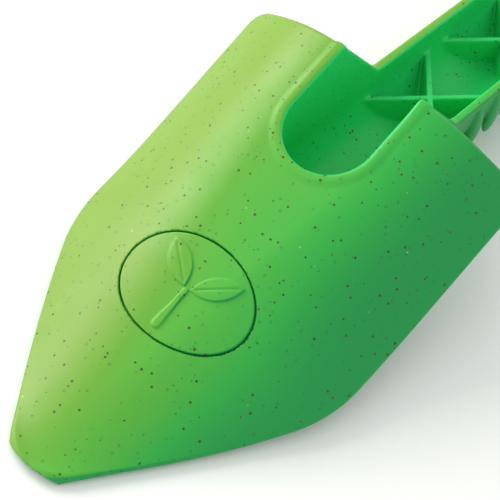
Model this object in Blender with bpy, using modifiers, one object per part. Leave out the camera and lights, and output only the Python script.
"""A child's moulded hand trowel, lying face down on its blade rim and its handle end.

The trowel is one plastic moulding. It is modelled here as the separate solids that its
shape is made of: the dished blade, the emblem insert in the blade's back, the socket that
runs from the blade into the handle, the handle channel with its crossed ribs and rounded
end, and the grip ridges on the channel's sides.

Two frames are used. In the blade frame the tip is at x = 0, the shoulder lies towards +X,
the straight part of the rim is at z = 0 and the back of the blade is up. In the handle frame
x runs along the handle, away from the blade, and the flat rims of the channel are at z = 0.
Each frame is an empty, and the handle's empty is a child of the blade's.
"""

import math

import bmesh
import bpy
from mathutils import Matrix, Vector

# All lengths are in metres and all angles in radians.

# Blade outline, seen from the back
BLADE_LENGTH = 0.116
TIP_RADIUS = 0.0124
BEND_X = 0.0471
BEND_HALF_WIDTH = 0.039
SHOULDER_HALF_WIDTH = 0.040
BEND_RADIUS = 0.0366
TAPER_BULGE = 0.00093
CORNER_RADIUS = 0.004

# Blade dish
WALL = 0.0024
TIP_RIM_HEIGHT = 0.0224
RIM_RISE_LENGTH = 0.0785
TIP_CROWN_HEIGHT = 0.0213
SHOULDER_CROWN_HEIGHT = 0.0162
CROWN_FLAT_HALF_WIDTH = 0.0126
FLANK_POWER = 1.8
TIP_ROUNDING = 0.0091
END_LEAN = 0.04

# Handle channel
HANDLE_SLOPE = math.radians(26.9)
HANDLE_X = 0.1247
HANDLE_Z = -0.0107
CHANNEL_HALF_WIDTH = 0.0107
CHANNEL_DEPTH = 0.015
HANDLE_WALL = 0.0024
HANDLE_END_CENTRE = 0.086
HANDLE_SPLIT = 0.0835
HANG_HOLE_X = 0.090
HANG_HOLE_RADIUS = 0.0035

# Socket sunk into the crown of the blade
SOCKET_CENTRE = -0.035
SOCKET_LEAN = math.tan(math.radians(6.9))
SOCKET_END_LEAN = math.radians(19.5)
SOCKET_TOP = 0.034

# Crossed ribs inside the channel
BRACE_FIRST = 0.0099
BRACE_PITCH = 0.0335
BRACE_COUNT = 3
BRACE_REACH = 0.0135
BRACE_TOP = -0.0069
BRACE_THICKNESS = 0.0015

# Grip ridges outside the channel
RIDGE_FIRST = 0.0107
RIDGE_PITCH = 0.008
RIDGE_COUNT = 3
RIDGE_LENGTH = 0.0052
RIDGE_HEIGHT = 0.0128
RIDGE_PROUD = 0.0013
RIDGE_MIDDLE = -0.0078

# Emblem insert in the back of the blade
EMBLEM_X = 0.049
EMBLEM_LENGTH = 0.0125
EMBLEM_HALF_WIDTH = 0.0165
RELIEF = 0.0007
LEAF_LENGTH = 0.0105
LEAF_WIDTH = 0.0026

GAP = 0.0003
MERGE = 0.00001

# Resting pose: the whole trowel tips about the blade's rim until the handle end touches down
REST_PITCH = math.radians(-23.5)
REST_X = -0.10351
REST_Z = -0.01744

GREEN = (0.16, 0.52, 0.08)
YELLOW_GREEN = (0.26, 0.58, 0.06)
DEEP_GREEN = (0.05, 0.38, 0.10)


# ---------------------------------------------------------------- scene, materials, helpers

def clear_scene():
    for item in list(bpy.data.objects):
        bpy.data.objects.remove(item, do_unlink=True)


def new_collection(name):
    collection = bpy.data.collections.new(name)
    bpy.context.scene.collection.children.link(collection)
    return collection


def plastic(name, colour, roughness):
    """A plain plastic for one sub-part."""
    material = bpy.data.materials.new(name)
    material.use_nodes = True
    shader = material.node_tree.nodes["Principled BSDF"]
    shader.inputs["Base Color"].default_value = (*colour, 1.0)
    shader.inputs["Roughness"].default_value = roughness
    shader.inputs["Metallic"].default_value = 0.0
    return material


def new_empty(name, collection, parent=None, location=(0, 0, 0), pitch=0.0):
    empty = bpy.data.objects.new(name, None)
    collection.objects.link(empty)
    empty.parent = parent
    empty.location = location
    empty.rotation_euler = (0.0, pitch, 0.0)
    return empty


def add_object(name, mesh, collection, parent, material=None):
    item = bpy.data.objects.new(name, mesh)
    collection.objects.link(item)
    item.parent = parent
    if material:
        mesh.materials.append(material)
    return item


def add_cutter(name, mesh, collection, parent):
    cutter = add_object(name, mesh, collection, parent)
    cutter.display_type = "WIRE"
    cutter.hide_render = True
    return cutter


def solidify(item, thickness, offset):
    modifier = item.modifiers.new("wall", "SOLIDIFY")
    modifier.thickness = thickness
    modifier.offset = offset
    modifier.use_even_offset = True
    return modifier


def boolean(item, cutter, operation):
    modifier = item.modifiers.new(operation.lower(), "BOOLEAN")
    modifier.operation = operation
    modifier.solver = "EXACT"
    modifier.object = cutter
    return modifier


def mesh_from_bmesh(name, bm, smooth=True):
    """Finishes a bmesh: welds its seams, turns its faces outward and shades it smooth."""
    bmesh.ops.remove_doubles(bm, verts=bm.verts, dist=MERGE)
    bmesh.ops.recalc_face_normals(bm, faces=bm.faces)
    mesh = bpy.data.meshes.new(name)
    bm.to_mesh(mesh)
    bm.free()
    if smooth:
        mesh.shade_smooth()
        mesh.set_sharp_from_angle(angle=math.radians(35))
    return mesh


def grid_faces(bm, rows):
    """Adds a quad sheet through rows of points that all have the same length."""
    verts = [[bm.verts.new(point) for point in row] for row in rows]
    for near, far in zip(verts, verts[1:]):
        for i in range(len(near) - 1):
            bm.faces.new((near[i], far[i], far[i + 1], near[i + 1]))
    return verts


def sheet_mesh(name, rows):
    """An open sheet with its faces pointing up."""
    bm = bmesh.new()
    grid_faces(bm, rows)
    bmesh.ops.remove_doubles(bm, verts=bm.verts, dist=MERGE)
    bmesh.ops.recalc_face_normals(bm, faces=bm.faces)
    bm.normal_update()
    if sum(face.normal.z * face.calc_area() for face in bm.faces) < 0:
        bmesh.ops.reverse_faces(bm, faces=bm.faces)
    mesh = bpy.data.meshes.new(name)
    bm.to_mesh(mesh)
    bm.free()
    mesh.shade_smooth()
    mesh.set_sharp_from_angle(angle=math.radians(35))
    return mesh


def prism_mesh(name, outline, low, high):
    """A closed prism over an outline of (x, y) points."""
    bm = bmesh.new()
    base = bm.faces.new([bm.verts.new((x, y, low)) for x, y in outline])
    side = bmesh.ops.extrude_face_region(bm, geom=[base])["geom"]
    top = [part for part in side if isinstance(part, bmesh.types.BMVert)]
    bmesh.ops.translate(bm, verts=top, vec=(0, 0, high - low))
    return mesh_from_bmesh(name, bm)


def box_mesh(name, size, matrix):
    bm = bmesh.new()
    bmesh.ops.create_cube(bm, size=1.0, matrix=matrix @ Matrix.Diagonal((*size, 1.0)))
    return mesh_from_bmesh(name, bm, smooth=False)


def smooth_step(value, low, high):
    t = min(1.0, max(0.0, (value - low) / (high - low)))
    return t * t * (3.0 - 2.0 * t)


# ---------------------------------------------------------------- blade shape

def taper_angle():
    """Angle between the blade's middle line and its tapering side."""
    reach = math.hypot(BEND_X - TIP_RADIUS, BEND_HALF_WIDTH)
    middle = math.atan2(BEND_HALF_WIDTH, BEND_X - TIP_RADIUS)
    return middle - math.asin(TIP_RADIUS / reach)


def side_angle():
    """Angle between the blade's middle line and its nearly straight side."""
    return math.atan2(SHOULDER_HALF_WIDTH - BEND_HALF_WIDTH, BLADE_LENGTH - BEND_X)


def blade_outline(tip_steps=7, taper_steps=9, bend_steps=6, side_steps=8):
    """Half of the outline, from the tip to the shoulder, as (x, half width)."""
    taper, side = taper_angle(), side_angle()
    points = []
    for i in range(tip_steps + 1):
        turn = (math.pi / 2 - taper) * i / tip_steps
        points.append((TIP_RADIUS * (1 - math.cos(turn)), TIP_RADIUS * math.sin(turn)))

    setback = BEND_RADIUS * math.tan((taper - side) / 2)
    along = Vector((math.cos(taper), math.sin(taper)))
    across = Vector((-math.sin(taper), math.cos(taper)))
    bend = Vector((BEND_X, BEND_HALF_WIDTH))
    start, stop = Vector(points[-1]), bend - setback * along
    for i in range(1, taper_steps + 1):
        t = i / taper_steps
        points.append(tuple(start.lerp(stop, t) + across * (4 * TAPER_BULGE * t * (1 - t))))

    centre = stop - BEND_RADIUS * across
    for i in range(1, bend_steps + 1):
        angle = math.pi / 2 + taper + (side - taper) * i / bend_steps
        points.append((centre.x + BEND_RADIUS * math.cos(angle),
                       centre.y + BEND_RADIUS * math.sin(angle)))

    last = points[-1]
    for i in range(1, side_steps + 1):
        x = last[0] + (BLADE_LENGTH - CORNER_RADIUS - last[0]) * i / side_steps
        points.append((x, last[1] + (x - last[0]) * math.tan(side)))
    return points


def corner_outline(steps=4):
    """The rounded shoulder corner that ends the outline, as (x, half width)."""
    centre_x = BLADE_LENGTH - CORNER_RADIUS
    centre_y = SHOULDER_HALF_WIDTH - CORNER_RADIUS
    points = []
    for i in range(1, steps + 1):
        turn = math.pi / 2 * i / steps
        points.append((centre_x + CORNER_RADIUS * math.sin(turn),
                       centre_y + CORNER_RADIUS * math.cos(turn)))
    return points


def rim_height(x):
    """The rim is level near the shoulder and climbs towards the tip."""
    return TIP_RIM_HEIGHT * max(0.0, 1 - x / RIM_RISE_LENGTH) ** 2


def dish_height(x, y, half_width):
    """Height of the blade's back over a point, where half_width is the dish's own."""
    crown = TIP_CROWN_HEIGHT + (SHOULDER_CROWN_HEIGHT - TIP_CROWN_HEIGHT) * x / BLADE_LENGTH
    rim = rim_height(x)
    rise = (crown - rim) * (1 - math.exp(-half_width / TIP_ROUNDING))
    flat = CROWN_FLAT_HALF_WIDTH * smooth_step(x, 0.0, BLADE_LENGTH)
    if half_width - flat < MERGE:
        return rim
    fall = min(1.0, max(0.0, (abs(y) - flat) / (half_width - flat)))
    return rim + rise * (1 - fall ** FLANK_POWER)


def leaned(x, y, z):
    """Leans the shoulder edge, so that its crown is nearer the tip than its corners."""
    return (x - END_LEAN * z * smooth_step(x, BEND_X, BLADE_LENGTH), y, z)


def blade_rows(columns=26, lift=0.0):
    """Rows of points across the back of the blade, from the tip to the shoulder."""
    rows = []
    stations = [(x, width, width) for x, width in blade_outline()]
    stations += [(x, width, SHOULDER_HALF_WIDTH) for x, width in corner_outline()]
    for x, width, dish in stations:
        row = []
        for i in range(columns + 1):
            y = width * (2 * i / columns - 1)
            row.append(leaned(x, y, dish_height(x, y, dish) + lift))
        rows.append(row)
    return rows


def envelope_mesh():
    """Everything below the blade's back, carried on past the shoulder."""
    low_x, high_x, half_width, floor = 0.070, 0.150, 0.030, -0.080
    bm = bmesh.new()
    rows = []
    for i in range(17):
        x = low_x + (high_x - low_x) * i / 16
        row = []
        for j in range(31):
            y = half_width * (2 * j / 30 - 1)
            height = dish_height(min(x, BLADE_LENGTH), y, SHOULDER_HALF_WIDTH)
            row.append((x, y, height))
        rows.append(row)
    grid_faces(bm, rows)
    side = bmesh.ops.extrude_face_region(bm, geom=bm.faces[:])["geom"]
    for part in side:
        if isinstance(part, bmesh.types.BMVert):
            part.co.z = floor
    return mesh_from_bmesh("under_the_back", bm)


def oval(length, half_width, steps=40):
    return [(EMBLEM_X + length * math.cos(math.tau * i / steps),
             half_width * math.sin(math.tau * i / steps)) for i in range(steps)]


def leaf_outline(side, steps=10):
    """A pointed leaf that leaves the stem and leans away from the middle line."""
    root = Vector((EMBLEM_X - 0.0005, 0.0012 * side))
    along = Vector((0.62, 0.78 * side)).normalized()
    across = Vector((-along.y, along.x))
    edge = []
    for i in range(steps + 1):
        t = i / steps
        edge.append(root + along * (LEAF_LENGTH * t) + across * (LEAF_WIDTH * math.sin(math.pi * t)))
    for i in range(steps - 1, 0, -1):
        t = i / steps
        edge.append(root + along * (LEAF_LENGTH * t) - across * (LEAF_WIDTH * math.sin(math.pi * t)))
    return [tuple(point) for point in edge]


# ---------------------------------------------------------------- channel shape

def channel_section(half_width, depth, radius, top, steps=12):
    """Across the channel: down one wall, round the floor and up the other, as (y, z)."""
    shoulder = radius - depth
    section = [(half_width, top), (half_width, (top + shoulder) / 2)]
    for i in range(steps + 1):
        turn = math.pi * i / steps
        section.append((half_width * math.cos(turn), shoulder - half_width * math.sin(turn)))
    section += [(-half_width, (top + shoulder) / 2), (-half_width, top)]
    return section


def channel_rows(stations, grow, top, lean=0.0):
    """Rows of points along a channel; a station is (x, share of the full half width)."""
    radius = CHANNEL_HALF_WIDTH + grow
    depth = CHANNEL_DEPTH + grow
    rows = []
    for x, share in stations:
        section = channel_section(radius * share, depth, radius, top)
        rows.append([(x - lean * z, y, z) for y, z in section])
    return rows


def round_end(centre, radius, direction, steps=7):
    """Stations of a ball-shaped end, from its point to its full width."""
    stations = []
    for i in range(steps + 1):
        turn = math.pi / 2 * (1 - i / steps)
        stations.append((centre + direction * radius * math.sin(turn), math.cos(turn)))
    return stations


def closed_channel_mesh(name, stations, grow, top, lean=0.0):
    """The solid that would fill a channel up to its top."""
    bm = bmesh.new()
    verts = grid_faces(bm, channel_rows(stations, grow, top, lean))
    for near, far in zip(verts, verts[1:]):
        bm.faces.new((near[-1], far[-1], far[0], near[0]))
    for row, share in ((verts[0], stations[0][1]), (verts[-1], stations[-1][1])):
        if share > 0.5:
            bm.faces.new(row)
    return mesh_from_bmesh(name, bm)


def socket_stations(grow):
    radius = CHANNEL_HALF_WIDTH + grow
    return round_end(SOCKET_CENTRE, radius, -1) + [(0.045, 1.0)]


def socket_end_matrix():
    """The plane, in the handle frame, that parts the socket from the handle channel."""
    tilt = HANDLE_SLOPE + SOCKET_END_LEAN
    return Matrix.Rotation(-tilt, 4, "Y")


# ---------------------------------------------------------------- sub-parts

def make_emblem(parts, cutters, blade):
    """The insert that fills the oval pocket in the back, with a sprout raised on it."""
    insert = add_object("emblem_medallion", sheet_mesh("emblem_medallion", blade_rows()), parts,
                        blade, plastic("emblem_plastic", GREEN, 0.42))
    solidify(insert, WALL, -1)
    edge = prism_mesh("emblem_edge", oval(EMBLEM_LENGTH - GAP, EMBLEM_HALF_WIDTH - GAP), -0.01, 0.03)
    boolean(insert, add_cutter("emblem_edge", edge, cutters, blade), "INTERSECT")

    sprout = {
        "sprout_leaf_left": leaf_outline(1),
        "sprout_leaf_right": leaf_outline(-1),
        "sprout_stem": [(EMBLEM_X - 0.0085, -0.0007), (EMBLEM_X - 0.0015, -0.0007),
                        (EMBLEM_X - 0.0015, 0.0007), (EMBLEM_X - 0.0085, 0.0007)],
    }
    for name, outline in sprout.items():
        relief = add_object(name, sheet_mesh(name, blade_rows(lift=GAP)), parts, blade,
                            plastic(name + "_plastic", YELLOW_GREEN, 0.40))
        solidify(relief, RELIEF, 1)
        edge = prism_mesh(name + "_edge", outline, -0.01, 0.03)
        boolean(relief, add_cutter(name + "_edge", edge, cutters, blade), "INTERSECT")


def make_blade(parts, cutters, blade, handle):
    """The dished shell, with a slot for the socket and a pocket for the emblem insert."""
    shell = add_object("blade_shell", sheet_mesh("blade_shell", blade_rows()), parts, blade,
                       plastic("blade_plastic", GREEN, 0.42))
    solidify(shell, WALL, -1)
    slot = closed_channel_mesh("socket_slot", socket_stations(HANDLE_WALL + GAP),
                               HANDLE_WALL + GAP, 0.060, SOCKET_LEAN)
    boolean(shell, add_cutter("socket_slot", slot, cutters, handle), "DIFFERENCE")
    pocket = prism_mesh("emblem_pocket", oval(EMBLEM_LENGTH, EMBLEM_HALF_WIDTH), -0.01, 0.03)
    boolean(shell, add_cutter("emblem_pocket", pocket, cutters, blade), "DIFFERENCE")


def make_socket(parts, cutters, blade, handle):
    """The deep round-ended trough that opens in the blade's crown and feeds the handle."""
    rows = channel_rows(socket_stations(0.0), 0.0, SOCKET_TOP, SOCKET_LEAN)
    socket = add_object("neck_socket", sheet_mesh("neck_socket", rows), parts, handle,
                        plastic("socket_plastic", DEEP_GREEN, 0.45))
    solidify(socket, HANDLE_WALL, -1)
    under = add_cutter("under_the_back", envelope_mesh(), cutters, blade)
    boolean(socket, under, "INTERSECT")
    size = 0.12
    block = box_mesh("beyond_the_socket", (size, size, size),
                     socket_end_matrix() @ Matrix.Translation((size / 2, 0, 0)))
    boolean(socket, add_cutter("beyond_the_socket", block, cutters, handle), "DIFFERENCE")


def make_channel(parts, cutters, handle):
    """The straight U-shaped run of the handle, open at the back, with flat rims."""
    rows = channel_rows([(-0.030, 1.0), (HANDLE_SPLIT - GAP, 1.0)], 0.0, 0.0)
    channel = add_object("handle_channel", sheet_mesh("handle_channel", rows), parts, handle,
                         plastic("handle_plastic", GREEN, 0.42))
    solidify(channel, HANDLE_WALL, -1)
    size = 0.12
    block = box_mesh("before_the_channel", (size, size, size),
                     socket_end_matrix() @ Matrix.Translation((GAP - size / 2, 0, 0)))
    boolean(channel, add_cutter("before_the_channel", block, cutters, handle), "DIFFERENCE")


def make_handle_end(parts, cutters, handle):
    """The ball-shaped end of the channel, with a hanging hole through its floor."""
    stations = [(HANDLE_SPLIT, 1.0)]
    stations += round_end(HANDLE_END_CENTRE, CHANNEL_HALF_WIDTH, 1)[::-1]
    end = add_object("handle_end", sheet_mesh("handle_end", channel_rows(stations, 0.0, 0.0)),
                     parts, handle, plastic("handle_end_plastic", GREEN, 0.42))
    solidify(end, HANDLE_WALL, -1)
    bm = bmesh.new()
    bmesh.ops.create_cone(bm, cap_ends=True, segments=24, radius1=HANG_HOLE_RADIUS,
                          radius2=HANG_HOLE_RADIUS, depth=0.03,
                          matrix=Matrix.Translation((HANG_HOLE_X, 0, -0.015)))
    hole = mesh_from_bmesh("hang_hole", bm)
    boolean(end, add_cutter("hang_hole", hole, cutters, handle), "DIFFERENCE")


def make_braces(parts, cutters, handle):
    """Crossed diagonal ribs that stiffen the channel, shaped to its floor and walls."""
    stations = [(-0.030, 1.0)]
    stations += round_end(HANDLE_END_CENTRE, CHANNEL_HALF_WIDTH - GAP, 1)[::-1]
    core = closed_channel_mesh("channel_core", stations, -GAP, 0.0)
    core_cutter = add_cutter("channel_core", core, cutters, handle)
    reach = math.hypot(BRACE_REACH, CHANNEL_HALF_WIDTH) * 2.2
    angle = math.atan2(CHANNEL_HALF_WIDTH, BRACE_REACH)
    height = 0.02
    size = (reach, BRACE_THICKNESS, height)
    for i in range(BRACE_COUNT):
        place = Matrix.Translation((BRACE_FIRST + BRACE_PITCH * i, 0, BRACE_TOP - height / 2))
        name = "cross_brace_%d" % (i + 1)
        rib = box_mesh(name, size, place @ Matrix.Rotation(angle, 4, "Z"))
        other = box_mesh(name + "_cross", size, place @ Matrix.Rotation(-angle, 4, "Z"))
        limit = box_mesh(name + "_limit", (2 * BRACE_REACH, 0.05, 0.05), place)
        brace = add_object(name, rib, parts, handle, plastic(name + "_plastic", DEEP_GREEN, 0.45))
        boolean(brace, add_cutter(name + "_cross", other, cutters, handle), "UNION")
        boolean(brace, add_cutter(name + "_limit", limit, cutters, handle), "INTERSECT")
        boolean(brace, core_cutter, "INTERSECT")


def make_ridges(parts, handle):
    """Rounded upright ridges on both outer sides of the channel, near the blade."""
    wall_y = CHANNEL_HALF_WIDTH + HANDLE_WALL
    for side, word in ((1, "left"), (-1, "right")):
        for i in range(RIDGE_COUNT):
            bm = bmesh.new()
            bmesh.ops.create_uvsphere(bm, u_segments=20, v_segments=12, radius=0.5)
            bmesh.ops.scale(bm, verts=bm.verts, vec=(RIDGE_LENGTH, 2 * RIDGE_PROUD, RIDGE_HEIGHT))
            whole = bm.verts[:] + bm.edges[:] + bm.faces[:]
            cut = bmesh.ops.bisect_plane(bm, geom=whole, plane_co=(0, GAP, 0),
                                         plane_no=(0, 1, 0), clear_inner=True)
            rim = [part for part in cut["geom_cut"] if isinstance(part, bmesh.types.BMEdge)]
            bmesh.ops.edgeloop_fill(bm, edges=rim)
            if side < 0:
                bmesh.ops.scale(bm, verts=bm.verts, vec=(1, -1, 1))
            x = RIDGE_FIRST + RIDGE_PITCH * i
            bmesh.ops.translate(bm, verts=bm.verts, vec=(x, side * wall_y, RIDGE_MIDDLE))
            name = "grip_ridge_%s_%d" % (word, i + 1)
            add_object(name, mesh_from_bmesh(name, bm), parts, handle,
                       plastic(name + "_plastic", YELLOW_GREEN, 0.40))


def main():
    clear_scene()
    parts = new_collection("hand_trowel")
    cutters = new_collection("cutters")
    blade = new_empty("blade_frame", parts, None, (REST_X, 0.0, REST_Z), REST_PITCH)
    handle = new_empty("handle_frame", parts, blade, (HANDLE_X, 0.0, HANDLE_Z), HANDLE_SLOPE)
    make_blade(parts, cutters, blade, handle)
    make_emblem(parts, cutters, blade)
    make_socket(parts, cutters, blade, handle)
    make_channel(parts, cutters, handle)
    make_handle_end(parts, cutters, handle)
    make_braces(parts, cutters, handle)
    make_ridges(parts, handle)
    bpy.context.view_layer.update()


main()
